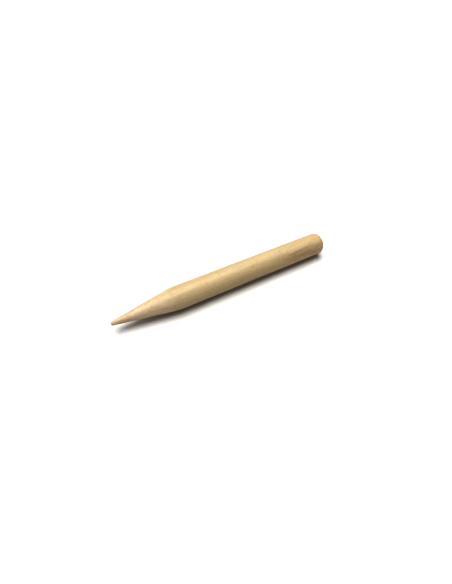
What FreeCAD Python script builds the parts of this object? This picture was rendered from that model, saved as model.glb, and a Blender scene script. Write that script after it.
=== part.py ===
import FreeCAD, Part
import math
import os

import Sketcher

# A cuticle pusher: one stick of pale hardwood, turned round and brought to a long blunt point
# at one end. Millimetres. The stick lies along X with the point towards -X, and the origin is
# on its axis at the middle of its length, which is inside the shank that holds it.

# Driving sizes: alias, value, what it is.
SIZES = [
    ("overall_length", 79.0, "from the blunt tip to the butt end"),
    ("shank_diameter", 8.0, "the dowel that the stick is made from"),
    ("taper_length", 20.7, "from the tip to the shoulder where the shank begins"),
    ("tip_diameter", 1.2, "across the blunt tip, before its edge is softened"),
    ("taper_crown", 0.07, "how far the side of the taper bows out from a straight cone"),
    ("tip_rounding", 0.35, "radius on the edge of the tip"),
    ("shoulder_rounding", 12.0, "radius that softens the shoulder"),
    ("butt_rounding", 1.8, "radius on the edge of the butt end"),
]

NODE = "wooden_stick"


def make_sheet(doc):
    """Put each driving size in its own named cell, with its meaning beside it."""
    sheet = doc.addObject("Spreadsheet::Sheet", "Sizes")
    for row, (alias, value, meaning) in enumerate(SIZES, start=1):
        sheet.set(f"A{row}", alias)
        sheet.set(f"B{row}", str(value))
        sheet.setAlias(f"B{row}", alias)
        sheet.set(f"C{row}", meaning)
    doc.recompute()
    return sheet


def origin_plane(body, role):
    """One of a body's own origin planes."""
    return next(feature for feature in body.Origin.OriginFeatures if feature.Role == role)


def bind(sketch, constraint, name, expression):
    """Add a constraint, name it and tie its value to the sheet."""
    index = sketch.addConstraint(constraint)
    sketch.renameConstraint(index, name)
    sketch.setExpression(f"Constraints.{name}", expression)


def rounding(corner, arriving, leaving, radius):
    """The arc that rounds a corner between two unit directions of travel: start, middle, end.

    Each end is radius x tan(half the turn) from the corner, and the middle is where the line
    from the arc's centre to the corner crosses the arc.
    """
    reach = radius * math.tan(arriving.getAngle(leaving) / 2)
    first = corner - arriving * reach
    last = corner + leaving * reach
    inwards = (leaving - arriving * arriving.dot(leaving)).normalize()
    centre = first + inwards * radius
    middle = centre + (corner - centre).normalize() * radius
    return first, middle, last


def draw_half_profile(body, sheet):
    """Half the outline of the stick, above its axis, with the tip at the sketch's origin.

    The tip face rises from the axis, the side of the taper is an arc that bows out by the
    crown, the shank is a straight line, and the butt end comes back down to the axis. An arc
    rounds each of the three corners between them, and two loose points mark where the
    taper's side would meet the tip face and the shank if it ran on.
    """
    radius = sheet.shank_diameter / 2
    tip_centre = FreeCAD.Vector(0, 0, 0)
    tip_corner = FreeCAD.Vector(0, sheet.tip_diameter / 2, 0)
    shoulder = FreeCAD.Vector(sheet.taper_length, radius, 0)
    butt_corner = FreeCAD.Vector(sheet.overall_length, radius, 0)
    butt_centre = FreeCAD.Vector(sheet.overall_length, 0, 0)
    up = FreeCAD.Vector(0, 1, 0)
    along = FreeCAD.Vector(1, 0, 0)
    slope = (shoulder - tip_corner).normalize()
    outwards = FreeCAD.Vector(-slope.y, slope.x, 0)
    crown_point = (tip_corner + shoulder) * 0.5 + outwards * sheet.taper_crown
    tip_arc = rounding(tip_corner, up, slope, sheet.tip_rounding)
    shoulder_arc = rounding(shoulder, slope, along, sheet.shoulder_rounding)
    butt_arc = rounding(butt_corner, along, -up, sheet.butt_rounding)

    sketch = body.newObject("Sketcher::SketchObject", "HalfProfile")
    sketch.AttachmentSupport = [(origin_plane(body, "XZ_Plane"), "")]
    sketch.MapMode = "FlatFace"
    tip_face = sketch.addGeometry(Part.LineSegment(tip_centre, tip_arc[0]))
    tip_edge = sketch.addGeometry(Part.Arc(*tip_arc))
    side = sketch.addGeometry(Part.Arc(tip_arc[-1], crown_point, shoulder_arc[0]))
    shoulder_edge = sketch.addGeometry(Part.Arc(*shoulder_arc))
    shank = sketch.addGeometry(Part.LineSegment(shoulder_arc[-1], butt_arc[0]))
    butt_edge = sketch.addGeometry(Part.Arc(*butt_arc))
    butt_face = sketch.addGeometry(Part.LineSegment(butt_arc[-1], butt_centre))
    axis = sketch.addGeometry(Part.LineSegment(butt_centre, tip_centre))
    tip_mark = sketch.addGeometry(Part.Point(tip_corner), True)
    shoulder_mark = sketch.addGeometry(Part.Point(shoulder), True)

    # The ends of a line or an arc, and the sketch's own origin. An arc runs anticlockwise,
    # which is from the butt towards the tip on this outline, so it is joined end first.
    start, end, origin = 1, 2, (-1, 1)
    for first, second in [
        ((tip_face, start), origin),
        ((butt_face, end), (axis, start)),
        ((axis, end), (tip_face, start)),
    ]:
        sketch.addConstraint(Sketcher.Constraint("Coincident", *first, *second))
    for first, second in [
        ((tip_face, end), (tip_edge, end)),
        ((tip_edge, start), (side, end)),
        ((side, start), (shoulder_edge, end)),
        ((shoulder_edge, start), (shank, start)),
        ((shank, end), (butt_edge, end)),
        ((butt_edge, start), (butt_face, start)),
    ]:
        sketch.addConstraint(Sketcher.Constraint("Tangent", *first, *second))
    for upright in (tip_face, butt_face):
        sketch.addConstraint(Sketcher.Constraint("Vertical", upright))
    for level in (shank, axis):
        sketch.addConstraint(Sketcher.Constraint("Horizontal", level))
    for mark, line in [
        (tip_mark, tip_face),
        (tip_mark, side),
        (shoulder_mark, shank),
        (shoulder_mark, side),
    ]:
        sketch.addConstraint(Sketcher.Constraint("PointOnObject", mark, start, line))

    half_tip = Sketcher.Constraint("DistanceY", *origin, tip_mark, start, tip_corner.y)
    bind(sketch, half_tip, "tip_radius", "Sizes.tip_diameter / 2")
    half_shank = Sketcher.Constraint("DistanceY", *origin, shoulder_mark, start, radius)
    bind(sketch, half_shank, "shank_radius", "Sizes.shank_diameter / 2")
    taper = Sketcher.Constraint("DistanceX", *origin, shoulder_mark, start, shoulder.x)
    bind(sketch, taper, "taper_length", "Sizes.taper_length")
    whole = Sketcher.Constraint("DistanceX", *origin, butt_face, end, butt_centre.x)
    bind(sketch, whole, "overall_length", "Sizes.overall_length")
    for arc, size in [
        (tip_edge, "tip_rounding"),
        (shoulder_edge, "shoulder_rounding"),
        (butt_edge, "butt_rounding"),
    ]:
        curve = Sketcher.Constraint("Radius", arc, sketch.Geometry[arc].Radius)
        bind(sketch, curve, size, f"Sizes.{size}")
    # The radius of a bowed side is (half its chord squared + crown squared) / (2 x crown).
    rise = "(Sizes.shank_diameter - Sizes.tip_diameter) / 2"
    half_chord_squared = f"(Sizes.taper_length ^ 2 + ({rise}) ^ 2) / 4"
    bow = f"({half_chord_squared} + Sizes.taper_crown ^ 2) / (2 * Sizes.taper_crown)"
    curve = Sketcher.Constraint("Radius", side, sketch.Geometry[side].Radius)
    bind(sketch, curve, "taper_bow", bow)
    return sketch


def make_stick(doc, sheet):
    """The whole stick: its half profile, turned once round its axis, with its middle at X = 0."""
    body = doc.addObject("PartDesign::Body", "WoodenStick")
    body.Label = NODE
    sketch = draw_half_profile(body, sheet)
    doc.recompute()
    turned = body.newObject("PartDesign::Revolution", "TurnedStick")
    turned.Profile = sketch
    turned.ReferenceAxis = (sketch, ["H_Axis"])
    turned.Angle = 360
    body.setExpression("Placement.Base.x", "-Sizes.overall_length / 2")
    doc.recompute()
    return body


def check(doc, bodies):
    """Stop if any object failed, a sketch is loose, or a sub-part isn't one sound solid."""
    for item in doc.Objects:
        if "Invalid" in item.State or "Error" in item.State:
            raise RuntimeError(f"{item.Name} failed: {item.State}")
        if item.TypeId == "Sketcher::SketchObject" and not item.FullyConstrained:
            raise RuntimeError(f"{item.Name} isn't fully constrained")
    for body in bodies:
        shape = body.Shape
        if shape.isNull() or not shape.isValid() or len(shape.Solids) != 1:
            raise RuntimeError(f"{body.Label} isn't one sound solid")


def main():
    doc = FreeCAD.newDocument("CuticlePusher")
    sheet = make_sheet(doc)
    bodies = [make_stick(doc, sheet)]
    check(doc, bodies)
    os.makedirs("parts", exist_ok=True)
    for body in bodies:
        body.Shape.exportStep(os.path.join("parts", f"{body.Label}.step"))
        box = body.Shape.optimalBoundingBox(False, False)
        print(f"{body.Label}: {box.XLength:.2f} x {box.YLength:.2f} x {box.ZLength:.2f} mm")
        print(f"volume {body.Shape.Volume:.1f} cubic mm, from X = {box.XMin:.2f} to {box.XMax:.2f}")


main()
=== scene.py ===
"""A wooden cuticle pusher: one hardwood stick, turned round and brought to a long blunt point.

Lengths are metres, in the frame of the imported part: the stick lies along X with its point towards
-X, and its axis is Y = Z = 0. Where a name ends in _mm the number is millimetres, because that is
how a woodworker reads a growth ring or a pore.
"""

import math

import bpy
import numpy as np
from bpy.props import FloatProperty, FloatVectorProperty, IntProperty, PointerProperty
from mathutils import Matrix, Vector


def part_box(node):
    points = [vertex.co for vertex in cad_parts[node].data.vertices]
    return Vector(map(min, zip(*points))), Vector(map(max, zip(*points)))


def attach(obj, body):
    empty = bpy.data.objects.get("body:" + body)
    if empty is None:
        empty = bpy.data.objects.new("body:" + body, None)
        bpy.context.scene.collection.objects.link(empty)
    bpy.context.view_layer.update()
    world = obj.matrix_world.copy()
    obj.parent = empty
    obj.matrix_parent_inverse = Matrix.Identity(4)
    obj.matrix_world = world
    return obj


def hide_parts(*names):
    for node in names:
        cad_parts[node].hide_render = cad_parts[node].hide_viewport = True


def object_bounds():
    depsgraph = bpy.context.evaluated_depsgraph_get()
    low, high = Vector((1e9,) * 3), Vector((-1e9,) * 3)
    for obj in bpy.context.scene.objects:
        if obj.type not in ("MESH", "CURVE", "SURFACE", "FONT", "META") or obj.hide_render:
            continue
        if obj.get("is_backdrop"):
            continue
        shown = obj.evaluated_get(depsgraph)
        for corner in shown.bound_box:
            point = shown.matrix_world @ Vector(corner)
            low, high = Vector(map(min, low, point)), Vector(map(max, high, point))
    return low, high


bl_info = {
    "name": "Wooden Cuticle Pusher",
    "version": (1, 0, 0),
    "blender": (4, 5, 0),
    "location": "3D View > Sidebar > Pusher",
    "description": "Makes a pointed hardwood cuticle pusher and a plain pale stage for it",
    "category": "Add Mesh",
}

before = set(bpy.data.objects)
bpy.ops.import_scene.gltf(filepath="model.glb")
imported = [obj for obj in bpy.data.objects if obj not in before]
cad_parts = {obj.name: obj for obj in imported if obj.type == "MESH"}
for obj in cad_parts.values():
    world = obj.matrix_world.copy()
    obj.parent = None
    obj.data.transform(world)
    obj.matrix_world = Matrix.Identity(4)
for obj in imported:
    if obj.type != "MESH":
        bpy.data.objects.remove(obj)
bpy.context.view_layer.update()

NODE = "wooden_stick"
BODY = "root"
MM = 0.001
LOW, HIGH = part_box(NODE)


# ------------------------------------------------------------------------------------------------
# Sizes and colours that a user would change


def length(name, description, default):
    """A length in metres, with a name and what it measures."""
    return FloatProperty(
        name=name,
        description=description,
        default=default,
        min=0.0,
        precision=5,
        unit="LENGTH",
        subtype="DISTANCE",
    )


def amount(name, description, default, **limits):
    """A plain number from 0 up."""
    return FloatProperty(
        name=name, description=description, default=default, min=0.0, precision=3, **limits
    )


def angle(name, description, degrees):
    """An angle, given here in degrees and kept in radians."""
    return FloatProperty(
        name=name, description=description, default=math.radians(degrees), subtype="ANGLE"
    )


def colour(name, description, default):
    """A colour without alpha, in linear light."""
    return FloatVectorProperty(
        name=name, description=description, default=default, size=3, min=0.0, max=1.0, subtype="COLOR"
    )


class StickSizes(bpy.types.PropertyGroup):
    """The stick's shape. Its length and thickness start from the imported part's box."""

    overall_length: length("Length", "From the blunt tip to the butt end", HIGH.x - LOW.x)
    shank_diameter: length("Shank", "Across the straight shank", HIGH.z - LOW.z)
    taper_length: length("Taper", "From the tip to the shoulder where the shank begins", 20.7 * MM)
    taper_crown: length("Crown", "How far the side of the taper bows out", 0.07 * MM)
    tip_diameter: length("Tip", "Across the blunt tip before its edge is softened", 1.2 * MM)
    tip_rounding: length("Tip Rounding", "Radius on the edge of the tip", 0.35 * MM)
    shoulder_rounding: length("Shoulder", "Radius that softens the shoulder", 12 * MM)
    butt_rounding: length("Butt Rounding", "Radius on the edge of the butt end", 1.8 * MM)
    out_of_round: length("Out of Round", "How far the turned side strays from a circle", 0.02 * MM)
    ridge_height: length("Ridges", "How far the hard late wood stands above the rest", 0.012 * MM)
    fibre_depth: length("Fibres", "Depth of the furrows between bundles of fibres", 0.010 * MM)
    tip_wear: length("Tip Wear", "How uneven the blunt tip is", 0.035 * MM)
    around: IntProperty(name="Around", description="Points round the stick", default=240, min=24)


class WoodFinish(bpy.types.PropertyGroup):
    """The bare wood: its colours, and the sizes of what shows in its grain."""

    pale_wood: colour("Early Wood", "The pale wood of each year", (0.594, 0.516, 0.374))
    dark_wood: colour("Late Wood", "The darker line that ends a year", (0.508, 0.413, 0.271))
    fleck_wood: colour("Flecks", "Short brown flecks where rays are cut across", (0.325, 0.223, 0.126))
    fresh_wood: colour("Cut Wood", "The paler wood laid bare on the taper", (0.655, 0.577, 0.476))
    warm_wood: colour("Warm Patches", "Patches of warmer, orange wood", (0.606, 0.435, 0.259))
    cool_wood: colour("Cool Patches", "Patches of greyer wood", (0.498, 0.441, 0.346))
    # Also the colour of the painted shade under the tip and the taper.
    brown_wood_and_shade: colour("Brown Patches", "Streaks and patches of browner wood", (0.404, 0.288, 0.178))
    end_wood: colour("End Grain", "Wood cut straight across its fibres", (0.452, 0.354, 0.235))
    soiled_wood: colour("Handled Wood", "Where handling has darkened it", (0.368, 0.305, 0.218))
    layer_mm: amount("Layer Width", "Millimetres grown in a year", 1.7)
    pith_mm: amount("Pith", "Millimetres from the stick's axis to the heart of the tree", 30.0)
    pith_turn: angle("Pith Direction", "Round the stick from +Y towards +Z", -50)
    grain_lean: angle("Lean", "How far the fibres lean from the stick's axis", 1.6)
    fleck_mm: amount("Fleck Length", "Millimetres along the grain", 1.1)
    roughness: amount("Roughness", "How matt the sanded wood is", 0.44, max=1.0)
    relief_depth: length("Relief", "Height of the finest relief, from hollow to ridge", 0.03 * MM)


class StudioLook(bpy.types.PropertyGroup):
    """A pale floor under one soft lamp, and the camera."""

    floor_colour: colour("Floor", "The plain pale floor", (0.72, 0.72, 0.72))
    floor_size: length("Floor Size", "From the middle of the floor to its edge", 8.0)
    lamp_colour: colour("Lamp Colour", "Faintly green light from the lamp", (0.97, 1.0, 0.965))
    lamp_power: amount("Lamp", "Light on a surface that faces the lamp, in watts a square metre", 3.7)
    lamp_softness: angle("Softness", "How wide the lamp looks from the floor", 50)
    lamp_lean_x: angle("Lean to the Tip", "How far the lamp leans to the tip's side", 1.5)
    lamp_lean_y: angle("Lean Back", "How far the lamp leans away from the camera", 9.8)
    fill_colour: colour("Fill Colour", "Faintly pink light from all round", (1.0, 0.93, 0.97))
    fill_light: amount("Fill", "Brightness of the even light from all round", 0.5)
    surround: amount("Surround", "Brightness of what shows beyond the floor", 1.0)
    contrast: amount("Contrast", "How much steeper than usual the picture's tones are", 2.15)
    camera_turn: angle("Turn", "Camera's azimuth, 0 looking along +Y", -27.4)
    camera_height: angle("Elevation", "Camera's angle above the horizon", 52)
    camera_distance: length("Distance", "From the camera to what it aims at", 94.19 * MM)
    camera_lens: amount("Lens", "Focal length in millimetres, on a 36 mm wide sensor", 17.58)
    aim: FloatVectorProperty(
        name="Aim",
        description="The point that the camera looks at",
        default=(-2.785 * MM, -5.147 * MM, 0.0),
        subtype="TRANSLATION",
        unit="LENGTH",
        precision=5,
    )


# ------------------------------------------------------------------------------------------------
# The stick's shape

# How many points the outline has along each stretch of it.
TIP_FACE_POINTS = 5
TIP_EDGE_POINTS = 8
TAPER_POINTS = 96
SHOULDER_POINTS = 9
SHANK_POINTS = 236
BUTT_EDGE_POINTS = 22
BUTT_FACE_POINTS = 22

# The whole numbers that scatter the corners of the noise lattice.
LATTICE_STEPS = (73856093, 19349663, 83492791)
SEED_STEP = 2654435761
MIXERS = (2246822519, 3266489917)
LOW_16_BITS = 0xFFFF
LOW_32_BITS = 0xFFFFFFFF

# How the fibres wander: millimetres along X and across it twice, how much finer the second,
# smaller wander is, and how far each moves the wood, in millimetres.
WANDER_MM = (23.0, 9.0, 9.0)
FINER = 3.1
SIDEWAYS_MM = (0.34, 0.10)
UPWARDS_MM = (0.30, 0.10)

# Millimetres along the fibres, round the pith and out from it over which a year grows wider or
# narrower, and by how many years.
YEAR_SPREAD_MM = (60.0, 25.0, 2.3)
YEAR_SPREAD = 0.30

# Sizes of the relief, in millimetres. Bends and lumps: along X and across it twice. Fibres:
# along them, round the pith and out from it. Cut rings: from one to the next. TIP_END_MM is how
# far the lumps reach from the tip.
BEND_MM = (11.0, 5.0, 5.0)
TIP_LUMP_MM = (0.7, 0.45, 0.45)
LONG_FIBRE_MM = (9.0, 0.55, 0.55)
SHORT_FIBRE_MM = (3.2, 0.24, 0.24)
CUT_RING_MM = 0.42
TIP_END_MM = 1.1

# How far handling reaches from the tip and each side of the shoulder, in millimetres.
TIP_RUB_MM = 2.2
SHOULDER_RUB_MM = 1.6


def unit(direction):
    """A direction with a length of 1."""
    return direction / np.linalg.norm(direction)


def smooth_step(low, high, value):
    """0 below low, 1 above high, and 3 t^2 - 2 t^3 between them, t running from 0 to 1."""
    t = np.clip((value - low) / (high - low), 0.0, 1.0)
    return t * t * (3.0 - 2.0 * t)


def corner_arc(corner, arriving, leaving, radius, count):
    """Points on the arc that rounds a corner between two unit directions of travel.

    It starts radius x tan(half the turn) before the corner, and after turning by an angle a it
    is at start + radius x (sin a x arriving + (1 - cos a) x inwards), where inwards is the part
    of leaving that is square to arriving.
    """
    turn = math.acos(float(arriving @ leaving))
    inwards = unit(leaving - arriving * (arriving @ leaving))
    start = corner - arriving * radius * math.tan(turn / 2)
    turned = np.linspace(0.0, turn, count)[:, None]
    return start + radius * (np.sin(turned) * arriving + (1.0 - np.cos(turned)) * inwards)


def half_outline(sizes):
    """Half the outline of the stick, from the middle of its tip to the middle of its butt.

    Rows of (distance from the tip, radius). The side of the taper is a straight line plus a bow
    of 4 x crown x u (1 - u) square to it, with u running from 0 at the tip to 1 at the shoulder.
    Arcs round its two ends and the edge of the butt.
    """
    radius = sizes.shank_diameter / 2
    tip_corner = np.array([0.0, sizes.tip_diameter / 2])
    shoulder = np.array([sizes.taper_length, radius])
    butt_corner = np.array([sizes.overall_length, radius])
    up = np.array([0.0, 1.0])
    along = np.array([1.0, 0.0])
    side = shoulder - tip_corner
    outwards = unit(np.array([-side[1], side[0]])) * 4.0 * sizes.taper_crown
    tip_arc = corner_arc(
        tip_corner, up, unit(side + outwards), sizes.tip_rounding, TIP_EDGE_POINTS
    )
    shoulder_arc = corner_arc(
        shoulder, unit(side - outwards), along, sizes.shoulder_rounding, SHOULDER_POINTS
    )
    butt_arc = corner_arc(butt_corner, along, -up, sizes.butt_rounding, BUTT_EDGE_POINTS)
    first = (tip_arc[-1][0] - tip_corner[0]) / side[0]
    last = (shoulder_arc[0][0] - tip_corner[0]) / side[0]
    u = np.linspace(first, last, TAPER_POINTS)[1:-1, None]
    taper = tip_corner + side * u + outwards * u * (1.0 - u)
    tip_face = np.linspace([0.0, 0.0], tip_arc[0], TIP_FACE_POINTS)[:-1]
    shank = np.linspace(shoulder_arc[-1], butt_arc[0], SHANK_POINTS)[1:-1]
    butt_face = np.linspace(butt_arc[-1], [sizes.overall_length, 0.0], BUTT_FACE_POINTS)[1:]
    return np.concatenate([tip_face, tip_arc, taper, shoulder_arc, shank, butt_arc, butt_face])


def solid_noise(points, seed):
    """Smooth noise from -1 to 1 at points in space, whose grains are one unit across.

    Each corner of a unit lattice gets a number from a hash of its whole-number place, and a
    point takes the eight round it, weighed along each axis by the smooth step 3 t^2 - 2 t^3.
    """
    cell = np.floor(points).astype(np.int64)
    t = points - cell
    t = t * t * (3.0 - 2.0 * t)
    total = np.zeros(points.shape[:-1])
    for corner in np.ndindex(2, 2, 2):
        place = (cell + corner) & LOW_16_BITS
        mixed = np.bitwise_xor.reduce(place * np.array(LATTICE_STEPS), axis=-1)
        mixed = (mixed + seed * SEED_STEP) & LOW_32_BITS
        mixed = ((mixed ^ mixed >> 15) * MIXERS[0]) & LOW_32_BITS
        mixed = ((mixed ^ mixed >> 13) * MIXERS[1]) & LOW_32_BITS
        value = ((mixed ^ mixed >> 16) & LOW_16_BITS) / (LOW_16_BITS / 2) - 1.0
        weight = np.prod(np.where(np.array(corner) == 1, t, 1.0 - t), axis=-1)
        total += weight * value
    return total


def tree_place(points, finish):
    """Where each point of the stick lay in the tree, in millimetres, and its year.

    The three numbers are: along the fibres, round the pith, and out from the pith. The pith is a
    line beside the stick. The fibres lean from the stick's axis and wander by slow noise, so
    that the same layers rise through the surface in long loops. The year is the distance from
    the pith over the layer width, plus noise that makes some years wide and others narrow.
    """
    along, across, height = np.moveaxis(points / MM, -1, 0)
    slow = np.stack([along, across, height], axis=-1) / WANDER_MM
    large, small = SIDEWAYS_MM
    wander = large * solid_noise(slow, seed=3) + small * solid_noise(slow * FINER, seed=4)
    large, small = UPWARDS_MM
    sway = large * solid_noise(slow, seed=5) + small * solid_noise(slow * FINER, seed=6)
    lean = along * math.tan(finish.grain_lean)
    turn = finish.pith_turn
    across = across + wander - lean * math.cos(turn) - finish.pith_mm * math.cos(turn)
    height = height + sway - lean * math.sin(turn) - finish.pith_mm * math.sin(turn)
    out = np.hypot(across, height)
    bearing = np.arctan2(height, across) - math.atan2(-math.sin(turn), -math.cos(turn))
    bearing = (bearing + np.pi) % (2.0 * np.pi) - np.pi
    round_pith = bearing * finish.pith_mm
    place = np.stack([along, round_pith, out], axis=-1)
    year = out / finish.layer_mm + YEAR_SPREAD * solid_noise(place / YEAR_SPREAD_MM, seed=7)
    return place, year


def late_wood(year):
    """1 on the hard line that ends each year and 0 on the soft wood after it.

    It rises slowly from a third of the way through the year and falls quickly at its end.
    """
    part = year - np.floor(year)
    return smooth_step(0.35, 0.90, part) ** 2 * (1.0 - smooth_step(0.93, 1.0, part))


def stick_relief(sizes, points, station, place, year):
    """How far the surface stands out from the turned shape at each point, in metres.

    It adds slow bends out of round, ridges of late wood, furrows between the fibres, which are
    long along them and narrow across, faint rings where the taper was cut (a sine along X),
    and an uneven tip.
    """
    mm = points / MM
    bends = solid_noise(mm / BEND_MM, seed=11) * sizes.out_of_round
    ridges = (late_wood(year) - 0.3) * sizes.ridge_height
    long_fibres = solid_noise(place / LONG_FIBRE_MM, seed=12)
    short_fibres = solid_noise(place / SHORT_FIBRE_MM, seed=13)
    furrows = (0.6 * long_fibres + 0.4 * short_fibres) * sizes.fibre_depth
    on_taper = 1.0 - smooth_step(0.86, 1.0, station / sizes.taper_length)
    ring_turns = station / (CUT_RING_MM * MM) * 2.0 * np.pi
    cut_rings = 0.25 * sizes.fibre_depth * np.sin(ring_turns) * on_taper
    at_tip = np.exp(-station / (TIP_END_MM * MM))
    worn = solid_noise(mm / TIP_LUMP_MM, seed=14) * sizes.tip_wear * at_tip
    return bends * (1.0 - 0.5 * at_tip) + ridges + furrows + cut_rings + worn


def turned_surface(outline, around):
    """A closed surface of revolution about X, as points and outward normals on a grid.

    The point at row i and angle a is (x, r cos a, r sin a), with x and r from row i of the
    outline. The normal is square to the outline and turns with it.
    """
    x, r = outline.T
    slope_x, slope_r = np.gradient(x), np.gradient(r)
    scale = np.hypot(slope_x, slope_r)
    normal_x, normal_r = -slope_r / scale, slope_x / scale
    normal_x[[0, -1]] = -1.0, 1.0
    normal_r[[0, -1]] = 0.0
    turn = np.arange(around) * 2.0 * np.pi / around
    cos, sin = np.cos(turn), np.sin(turn)
    points = np.stack([x[:, None] + 0.0 * cos, r[:, None] * cos, r[:, None] * sin], axis=-1)
    normals = np.stack(
        [normal_x[:, None] + 0.0 * cos, normal_r[:, None] * cos, normal_r[:, None] * sin], axis=-1
    )
    return points, normals


def closed_faces(rows, around):
    """Corner numbers of the faces of a closed grid whose first and last rows are one point each.

    Points are numbered: the first pole, then the rows between, then the last pole. Between two
    rows the faces have four corners, and round a pole three. All are seen anticlockwise from
    outside.
    """
    ring = np.arange(around)
    after = (ring + 1) % around
    start = 1 + np.arange(rows - 3)[:, None] * around
    quads = np.stack(
        [start + ring, start + after, start + around + after, start + around + ring], axis=-1
    )
    first_ring = 1 + ring
    last_ring = 1 + (rows - 3) * around
    last_pole = 1 + (rows - 2) * around
    tip_fan = np.stack([np.zeros_like(ring), 1 + after, first_ring], axis=-1)
    butt_fan = np.stack([last_ring + ring, last_ring + after, last_pole + 0 * ring], axis=-1)
    return quads.reshape(-1, 4), np.concatenate([tip_fan, butt_fan])


def closed_values(grid):
    """The values of a closed grid in the order that closed_faces numbers them."""
    return np.concatenate([grid[:1, 0], grid[1:-1].reshape(-1, *grid.shape[2:]), grid[-1:, 0]])


def mesh_from_arrays(name, points, quads, triangles):
    """A mesh with these points and faces, shaded smooth."""
    mesh = bpy.data.meshes.new(name)
    corners = np.concatenate([quads.ravel(), triangles.ravel()])
    starts = np.concatenate(
        [np.arange(len(quads)) * 4, quads.size + np.arange(len(triangles)) * 3]
    )
    mesh.vertices.add(len(points))
    mesh.vertices.foreach_set("co", points.ravel())
    mesh.loops.add(len(corners))
    mesh.loops.foreach_set("vertex_index", corners)
    mesh.polygons.add(len(starts))
    mesh.polygons.foreach_set("loop_start", starts)
    mesh.update(calc_edges=True)
    mesh.shade_smooth()
    if mesh.validate():
        raise RuntimeError(f"{name} had broken faces")
    return mesh


def keep_values(mesh, name, values):
    """Store a number or a vector for each point of a mesh, for its material to read."""
    kind, field = ("FLOAT", "value") if values.ndim == 1 else ("FLOAT_VECTOR", "vector")
    mesh.attributes.new(name, kind, "POINT").data.foreach_set(field, values.ravel())


def stick_mesh(sizes, finish):
    """The stick, with what its material needs to know about each point.

    tree_place and year are what the function tree_place gives, end_grain is how squarely the
    surface cuts the fibres, wear is where handling has rubbed it (the edge of the butt and, more
    faintly, the tip and the shoulder) and taper is 1 where the point was cut.
    """
    outline = half_outline(sizes)
    station = outline[:, 0][:, None]
    outline = outline - [sizes.overall_length / 2, 0.0]
    points, normals = turned_surface(outline, sizes.around)
    place, year = tree_place(points, finish)
    relief = stick_relief(sizes, points, station, place, year)
    from_butt = sizes.overall_length - station
    tip = np.exp(-station / (TIP_RUB_MM * MM))
    butt_edge = np.exp(-((from_butt / sizes.butt_rounding - 0.35) / 0.45) ** 2)
    shoulder = np.exp(-(((station - sizes.taper_length) / (SHOULDER_RUB_MM * MM)) ** 2))
    wear = np.maximum(0.4 * tip, np.maximum(0.8 * butt_edge, 0.25 * shoulder))
    on_taper = 1.0 - smooth_step(0.78, 1.04, station / sizes.taper_length)
    quads, triangles = closed_faces(len(outline), sizes.around)
    shape = closed_values(points + normals * relief[..., None])
    mesh = mesh_from_arrays(NODE + "_turned", shape, quads, triangles)
    keep_values(mesh, "tree_place", closed_values(place))
    keep_values(mesh, "year", closed_values(year))
    keep_values(mesh, "end_grain", closed_values(np.abs(normals[..., 0])))
    keep_values(mesh, "wear", closed_values(wear + 0.0 * year))
    keep_values(mesh, "taper", closed_values(on_taper + 0.0 * year))
    return mesh


# ------------------------------------------------------------------------------------------------
# Shader maths


class Signal:
    """A node's output, on which + - * ** and the methods below add nodes."""

    def __init__(self, graph, socket):
        self.graph = graph
        self.socket = socket

    def maths(self, operation, *values):
        """A Math node with these values on its inputs, in order."""
        return self.graph.add("ShaderNodeMath", {"operation": operation}, dict(enumerate(values)))

    def __add__(self, other):
        return self.maths("ADD", self, other)

    def __radd__(self, other):
        return self.maths("ADD", other, self)

    def __sub__(self, other):
        return self.maths("SUBTRACT", self, other)

    def __rsub__(self, other):
        return self.maths("SUBTRACT", other, self)

    def __mul__(self, other):
        return self.maths("MULTIPLY", self, other)

    def __rmul__(self, other):
        return self.maths("MULTIPLY", other, self)

    def __pow__(self, other):
        return self.maths("POWER", self, other)

    def part(self):
        """What is left after the whole number."""
        return self.maths("FRACT", self)

    def step(self, low, high):
        """0 at low, 1 at high, smooth between them. low may be the larger."""
        return self.graph.add(
            "ShaderNodeMapRange",
            {"interpolation_type": "SMOOTHSTEP"},
            {"Value": self, "From Min": low, "From Max": high},
        )


class Graph:
    """The nodes of one material or world."""

    def __init__(self, tree):
        self.tree = tree
        tree.nodes.clear()

    def add(self, kind, settings=None, inputs=None, output=0):
        """Add a node: its settings first, then a value or a link for each socket named."""
        node = self.tree.nodes.new(kind)
        for name, value in (settings or {}).items():
            setattr(node, name, value)
        for name, value in (inputs or {}).items():
            if isinstance(value, Signal):
                self.tree.links.new(value.socket, node.inputs[name])
            else:
                node.inputs[name].default_value = value
        return Signal(self, node.outputs[output]) if node.outputs else None

    def mix(self, factor, first, second):
        """A colour that goes from first to second as factor goes from 0 to 1."""
        ends = {0: factor, 6: opaque(first), 7: opaque(second)}
        return self.add("ShaderNodeMix", {"data_type": "RGBA"}, ends, output=2)

    def stored(self, name, output="Fac"):
        """A number or a vector that the mesh keeps for each of its points."""
        return self.add("ShaderNodeAttribute", {"attribute_name": name}, output=output)

    def vector(self, operation, *values, output=0):
        """A Vector Math node with these values on its inputs, in order."""
        inputs = dict(enumerate(values))
        return self.add("ShaderNodeVectorMath", {"operation": operation}, inputs, output)

    def stretch(self, vector, sizes):
        """A vector with each part divided by a size, so that a pattern is as large as that."""
        return self.vector("MULTIPLY", vector, tuple(1.0 / size for size in sizes))

    def noise(self, vector, sizes, detail, output=0):
        """Noise whose grains have these sizes along the three directions of vector."""
        inputs = {"Vector": self.stretch(vector, sizes), "Scale": 1.0, "Detail": detail}
        return self.add("ShaderNodeTexNoise", {}, inputs, output)

    def cells(self, vector, sizes):
        """(distance from the nearest scattered point, a random number of that point)."""
        inputs = {"Vector": self.stretch(vector, sizes), "Scale": 1.0}
        distance = self.add("ShaderNodeTexVoronoi", {}, inputs, "Distance")
        colours = Signal(self, distance.socket.node.outputs["Color"])
        chance = self.add("ShaderNodeSeparateColor", {}, {0: colours})
        return distance, chance


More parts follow.
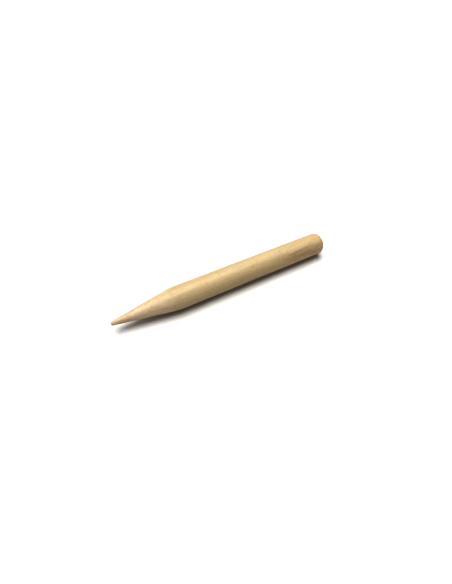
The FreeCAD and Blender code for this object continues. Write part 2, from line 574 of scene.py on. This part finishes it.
def opaque(value):
    """A colour with an alpha of 1, or the signal that was given."""
    return value if isinstance(value, Signal) else (*value, 1.0)


# ------------------------------------------------------------------------------------------------
# The bare wood

# How large the grains of each pattern are, in millimetres: along the fibres, round the pith and
# out from it. Rays are scattered one to a cell, and a cell's length is given in flecks.
STREAK_MM = (8.0, 0.50, 0.50)
FIBRE_MM = (2.6, 0.09, 0.09)
MOTTLE_MM = (1.5, 0.34, 0.34)
CLOUD_MM = (17.0, 3.6, 3.6)
PORE_MM = (2.4, 0.17, 0.17)
RAY_LINE_MM = (30.0, 0.11, 2.6)
RAY_CELL_FLECKS = 1.2
RAY_CELL_WIDE_MM = 0.34
RAY_CELL_DEEP_MM = 1.3

# The same for patterns that lie along X and across it twice. FRAY_MM is how far the swirls pull
# the edges of the patches about.
TINT_MM = (9.0, 3.0, 3.0)
SWIRL_MM = (2.4, 1.1, 1.1)
FRAY_MM = (4.0, 1.1, 1.1)
CROWD_MM = (5.0, 2.0, 2.0)
GRIME_MM = (1.6, 0.8, 0.8)

# How strongly each thing shows over the wood under it, from 0 to 1.
CUT_SHOWS = 0.80
LATE_SHOWS = 0.26
STREAKS_SHOW = 0.32
MOTTLE_SHOWS = 0.24
CLOUDS_SHOW = 0.55
TINTS_SHOW = 0.40
RAYS_SHOW = 0.46
PORES_SHOW = 0.26
FIBRES_SHOW = 0.18
RINGS_SHOW = 0.75
RAY_LINES_SHOW = 0.35
OPEN_PORES_SHOW = 0.42
END_SHOWS = 0.85
GRIME_SHOWS = 0.50
# How much of that is taken off rays on the taper, and off end grain at the tip.
RAYS_LESS_ON_TAPER = 0.35
END_LESS_AT_TIP = 0.55

# Listed marks: millimetres from the middle of the stick, degrees round it from +Y towards
# +Z, millimetres long, millimetres wide, and strength.
WARM_PATCHES = [
    (36.0, 101, 4.6, 1.7, 0.80),
    (24.8, 97, 5.5, 1.7, 0.38),
    (-3.6, 106, 6.0, 1.7, 0.34),
    (-10.5, 103, 5.0, 1.4, 0.22),
    (-30.5, 118, 6.0, 1.3, 0.30),
    (-25.5, 100, 4.0, 1.4, 0.22),
    (-35.5, 135, 4.0, 0.9, 0.25),
    (10.0, 265, 9.0, 2.4, 0.40),
    (-6.0, 330, 8.0, 2.0, 0.35),
]
# Painted highlight: paler wood along the lit top of the shank and of the taper.
PAINTED_HIGHLIGHT_PATCHES = [
    (17.0, 90, 30.0, 4.4, 0.85),
    (-31.5, 118, 16.0, 2.4, 0.80),
]
BROWN_PATCHES_AND_TIP_SHADE = [
    (-18.0, 104, 11.0, 2.2, 0.22),
    (31.0, 150, 30.0, 5.0, 0.58),
    (37.2, 138, 8.0, 2.2, 0.40),
    (23.5, 132, 26.0, 3.2, 0.50),
    # These two rows are painted shade, not browner wood: the underside of the tip and of the taper.
    (-36.0, 195, 8.0, 1.7, 0.70),
    (-26.0, 196, 12.0, 2.0, 0.30),
    (34.6, 171, 9.0, 1.5, 0.30),
    (28.0, 300, 16.0, 3.0, 0.40),
]
SPECKS = [
    (-20.9, 121, 0.55, 0.22, 0.75),
    (-22.6, 115, 0.45, 0.22, 0.55),
    (-19.4, 128, 0.60, 0.18, 0.45),
    (-24.4, 140, 0.50, 0.18, 0.50),
    (-13.3, 92, 0.50, 0.22, 0.55),
    (4.9, 137, 0.60, 0.20, 0.50),
    (30.9, 300, 0.55, 0.20, 0.80),
    (-3.0, 30, 0.60, 0.20, 0.70),
]


def marks(graph, spot, table, outline_mm):
    """Soft-edged marks on the side of the stick: the sum of one ellipsoid for each row.

    Each is centred on the surface, at the radius that the outline has there.
    """
    total = 0.0
    for along, degrees, long, wide, strength in table:
        turn = math.radians(degrees)
        radius = float(np.interp(along, *outline_mm.T))
        centre = (along, radius * math.cos(turn), radius * math.sin(turn))
        offset = graph.vector("SUBTRACT", spot, centre)
        shaped = graph.stretch(offset, (long / 2, wide / 2, wide / 2))
        away = graph.vector("LENGTH", shaped, output="Value")
        total = away.step(1.0, 0.0) * strength + total
    return total


def end_face(graph, finish, tree, late, pores):
    """The colour of wood cut straight across: brown rings, pale ray lines and open pores.

    pores is the pair that Graph.cells gives.
    """
    distance, chance = pores
    open_pores = distance.step(0.36, 0.16) * chance.step(0.10, 0.70)
    ray_lines = graph.noise(tree, RAY_LINE_MM, 1.0).step(0.55, 0.72)
    ringed = graph.mix(late * RINGS_SHOW, finish.end_wood, finish.brown_wood_and_shade)
    lined = graph.mix(ray_lines * RAY_LINES_SHOW, ringed, finish.pale_wood)
    return graph.mix(open_pores * OPEN_PORES_SHOW, lined, finish.fleck_wood)


def bare_wood(finish, outline_mm):
    """Pale, fine-grained hardwood, sanded and left bare.

    Years show as low-contrast bands, fibres as fine streaks, rays as short brown flecks along
    the grain, and pores as hairlines. Slow noise and the placed patches make it warmer, greyer
    or browner, and the taper is paler where it was cut. The pale patches are painted highlight
    along the lit top of the shank and the taper, and two of the brown patches are painted shade
    under the tip and the taper. The ends show end grain, and the edge of the butt and the tip
    are darker where they have been handled.
    """
    material = bpy.data.materials.new("bare_wood")
    material.use_nodes = True
    graph = Graph(material.node_tree)
    tree = graph.stored("tree_place", "Vector")
    year = graph.stored("year")
    end = graph.stored("end_grain")
    wear = graph.stored("wear")
    on_taper = graph.stored("taper")
    position = graph.add("ShaderNodeTexCoord", output="Object")
    spot = graph.stretch(position, (MM, MM, MM))

    streaks = graph.noise(tree, STREAK_MM, 4.0)
    fibres = graph.noise(tree, FIBRE_MM, 2.0)
    mottle = graph.noise(tree, MOTTLE_MM, 2.0)
    clouds = graph.noise(tree, CLOUD_MM, 2.0)
    tints = graph.noise(spot, TINT_MM, 2.0)
    swirls = graph.noise(spot, SWIRL_MM, 3.0, output=1)
    stray = graph.vector("SUBTRACT", swirls, (0.5, 0.5, 0.5))
    frayed = graph.vector("MULTIPLY_ADD", stray, FRAY_MM, spot)

    part = (year + (streaks - 0.5) * 0.16).part()
    late = part.step(0.25, 0.90) ** 1.6 * part.step(1.0, 0.94)
    # The colour of the paler cut wood on the taper, and also of the painted highlight below.
    cut_wood_and_highlight = graph.mix(on_taper * CUT_SHOWS, finish.pale_wood, finish.fresh_wood)
    banded = graph.mix(late * LATE_SHOWS, cut_wood_and_highlight, finish.dark_wood)
    streaked = graph.mix(streaks.step(0.40, 0.72) * STREAKS_SHOW, banded, finish.dark_wood)
    mottled = graph.mix(mottle.step(0.35, 0.70) * MOTTLE_SHOWS, streaked, finish.dark_wood)
    # Painted highlight: paler wood along the lit top of the shank and the taper.
    highlight_painted = graph.mix(marks(graph, frayed, PAINTED_HIGHLIGHT_PATCHES, outline_mm), mottled, cut_wood_and_highlight)
    cooled = graph.mix(clouds.step(0.48, 0.78) * CLOUDS_SHOW, highlight_painted, finish.cool_wood)
    in_streaks = streaks.step(0.22, 0.62)
    warmth = marks(graph, frayed, WARM_PATCHES, outline_mm) * (in_streaks * 0.6 + 0.4)
    warmth = tints.step(0.52, 0.80) * TINTS_SHOW + warmth
    warmed = graph.mix(warmth, cooled, finish.warm_wood)
    # Browner wood, and painted shade on the underside of the tip and the taper.
    brownness_and_shade = marks(graph, frayed, BROWN_PATCHES_AND_TIP_SHADE, outline_mm) * in_streaks
    browned_and_shaded = graph.mix(brownness_and_shade, warmed, finish.brown_wood_and_shade)

    crowds = graph.noise(spot, CROWD_MM, 2.0).step(0.30, 0.66)
    ray_cell = (finish.fleck_mm * RAY_CELL_FLECKS, RAY_CELL_WIDE_MM, RAY_CELL_DEEP_MM)
    ray_distance, ray_chance = graph.cells(tree, ray_cell)
    rays = ray_distance.step(0.44, 0.14) * ray_chance.step(0.30, 0.90) * crowds
    rays = rays * (1.0 - on_taper * RAYS_LESS_ON_TAPER)
    pore_distance, pore_chance = graph.cells(tree, PORE_MM)
    pores = pore_distance.step(0.30, 0.12) * pore_chance.step(0.25, 0.75)
    flecked = graph.mix(rays * RAYS_SHOW, browned_and_shaded, finish.fleck_wood)
    pored = graph.mix(pores * PORES_SHOW, flecked, finish.fleck_wood)
    side = graph.mix(fibres.step(0.30, 0.75) * FIBRES_SHOW, pored, finish.dark_wood)

    cut_across = end.step(0.55, 0.98)
    across = end_face(graph, finish, tree, late, (pore_distance, pore_chance))
    end_shows = cut_across * (END_SHOWS - on_taper * END_LESS_AT_TIP)
    ended = graph.mix(end_shows, side, across)
    grime = graph.noise(spot, GRIME_MM, 3.0).step(0.25, 0.80) * GRIME_SHOWS
    soiled = graph.mix(wear ** 1.5 * grime, ended, finish.soiled_wood)
    specked = graph.mix(marks(graph, spot, SPECKS, outline_mm), soiled, finish.fleck_wood)

    # Pores and rays are sunk, and late wood stands up.
    height = (fibres - 0.5) * 0.30 + (streaks - 0.5) * 0.25
    height = height - pores * 0.55 - rays * 0.25 + late * 0.12
    normal = graph.add(
        "ShaderNodeBump",
        {},
        {"Height": height, "Strength": 1.0, "Distance": finish.relief_depth},
    )
    # Pores and end grain are more matt, and handled wood is smoother.
    matt = finish.roughness + (fibres - 0.5) * 0.16 + pores * 0.10
    matt = matt - wear * 0.12 + cut_across * 0.10
    surface = graph.add(
        "ShaderNodeBsdfPrincipled",
        {},
        {"Base Color": specked, "Roughness": matt, "Normal": normal, "IOR": 1.45},
    )
    graph.add("ShaderNodeOutputMaterial", {}, {"Surface": surface})
    return material


# ------------------------------------------------------------------------------------------------
# The stage


def floor_material(look):
    """Plain matt paper."""
    material = bpy.data.materials.new("pale_floor")
    material.use_nodes = True
    graph = Graph(material.node_tree)
    surface = graph.add(
        "ShaderNodeBsdfPrincipled",
        {},
        {
            "Base Color": opaque(look.floor_colour),
            "Roughness": 1.0,
            "Specular IOR Level": 0.0,
        },
    )
    graph.add("ShaderNodeOutputMaterial", {}, {"Surface": surface})
    return material


def make_floor(look, level):
    """A flat square floor, centred under the stick, at the level that the stick lies on."""
    corners = np.array([[-1.0, -1.0], [1.0, -1.0], [1.0, 1.0], [-1.0, 1.0]]) * look.floor_size
    points = np.column_stack([corners, np.full(4, level)])
    mesh = bpy.data.meshes.new("floor")
    mesh.from_pydata(points, [], [(0, 1, 2, 3)])
    mesh.materials.append(floor_material(look))
    floor = bpy.data.objects.new("floor", mesh)
    bpy.context.collection.objects.link(floor)
    floor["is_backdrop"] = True


def make_surround(scene, look):
    """Even, faintly pink light from all round, and brighter plain white beyond the floor."""
    world = bpy.data.worlds.new("surround")
    world.use_nodes = True
    graph = Graph(world.node_tree)
    seen = graph.add("ShaderNodeLightPath", output="Is Camera Ray")
    strength = look.fill_light + seen * (look.surround - look.fill_light)
    tint = graph.mix(seen, look.fill_colour, (1.0, 1.0, 1.0))
    light = graph.add("ShaderNodeBackground", {}, {"Color": tint, "Strength": strength})
    graph.add("ShaderNodeOutputWorld", {}, {"Surface": light})
    scene.world = world


def make_lamp(look):
    """One wide, soft lamp almost overhead, leaning away from the camera and to the tip's side."""
    lamp = bpy.data.lights.new("overhead_lamp", "SUN")
    lamp.color = look.lamp_colour
    lamp.energy = look.lamp_power
    lamp.angle = look.lamp_softness
    holder = bpy.data.objects.new("overhead_lamp", lamp)
    towards_lamp = Vector((-math.tan(look.lamp_lean_x), math.tan(look.lamp_lean_y), 1.0))
    holder.rotation_euler = towards_lamp.to_track_quat("Z", "Y").to_euler()
    bpy.context.collection.objects.link(holder)


def make_camera(scene, look):
    """A camera on a sphere round the point it aims at, level with the horizon."""
    camera = bpy.data.cameras.new("camera")
    camera.sensor_width = 36.0
    camera.lens = look.camera_lens
    camera.clip_start = 0.005
    camera.clip_end = 100.0
    turn, rise = look.camera_turn, look.camera_height
    back = Vector(
        (math.sin(turn) * math.cos(rise), -math.cos(turn) * math.cos(rise), math.sin(rise))
    )
    holder = bpy.data.objects.new("camera", camera)
    holder.location = Vector(look.aim) + back * look.camera_distance
    holder.rotation_euler = back.to_track_quat("Z", "Y").to_euler()
    bpy.context.collection.objects.link(holder)
    scene.camera = holder


# ------------------------------------------------------------------------------------------------
# Operators, panel and registration


class PUSHER_OT_stick(bpy.types.Operator):
    """Make the turned and pointed stick of bare hardwood"""

    bl_idname = "pusher.stick"
    bl_label = "Wooden Stick"

    def execute(self, context):
        sizes = context.scene.pusher_sizes
        finish = context.scene.pusher_finish
        stick = bpy.data.objects.new("turned_stick", stick_mesh(sizes, finish))
        outline_mm = (half_outline(sizes) - [sizes.overall_length / 2, 0.0]) / MM
        stick.data.materials.append(bare_wood(finish, outline_mm))
        context.collection.objects.link(stick)
        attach(stick, BODY)
        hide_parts(NODE)
        return {"FINISHED"}


class PUSHER_OT_stage(bpy.types.Operator):
    """Set the stick on a plain pale floor under a soft lamp, with a camera"""

    bl_idname = "pusher.stage"
    bl_label = "Stage"

    def execute(self, context):
        scene = context.scene
        look = scene.pusher_look
        make_floor(look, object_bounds()[0].z)
        make_surround(scene, look)
        make_lamp(look)
        make_camera(scene, look)
        scene.view_settings.view_transform = "Standard"
        scene.view_settings.gamma = 1.0 / look.contrast
        return {"FINISHED"}


class PUSHER_PT_sidebar(bpy.types.Panel):
    """The sizes, the wood and the stage, with a button for each thing that is made"""

    bl_idname = "PUSHER_PT_sidebar"
    bl_label = "Cuticle Pusher"
    bl_space_type = "VIEW_3D"
    bl_region_type = "UI"
    bl_category = "Pusher"

    def draw(self, context):
        for group, button in [
            (context.scene.pusher_sizes, None),
            (context.scene.pusher_finish, PUSHER_OT_stick.bl_idname),
            (context.scene.pusher_look, PUSHER_OT_stage.bl_idname),
        ]:
            box = self.layout.box()
            for name in group.__annotations__:
                box.prop(group, name)
            if button:
                box.operator(button)


CLASSES = (
    StickSizes,
    WoodFinish,
    StudioLook,
    PUSHER_OT_stick,
    PUSHER_OT_stage,
    PUSHER_PT_sidebar,
)
GROUPS = {
    "pusher_sizes": StickSizes,
    "pusher_finish": WoodFinish,
    "pusher_look": StudioLook,
}


def register():
    """Register the classes and hang the settings on the scene."""
    for item in CLASSES:
        bpy.utils.register_class(item)
    for name, group in GROUPS.items():
        setattr(bpy.types.Scene, name, PointerProperty(type=group))


def unregister():
    """Take away what register added, in the opposite order."""
    for name in GROUPS:
        delattr(bpy.types.Scene, name)
    for item in reversed(CLASSES):
        bpy.utils.unregister_class(item)


def main():
    register()
    bpy.ops.pusher.stick()
    bpy.ops.pusher.stage()


if __name__ == "__main__":
    main()
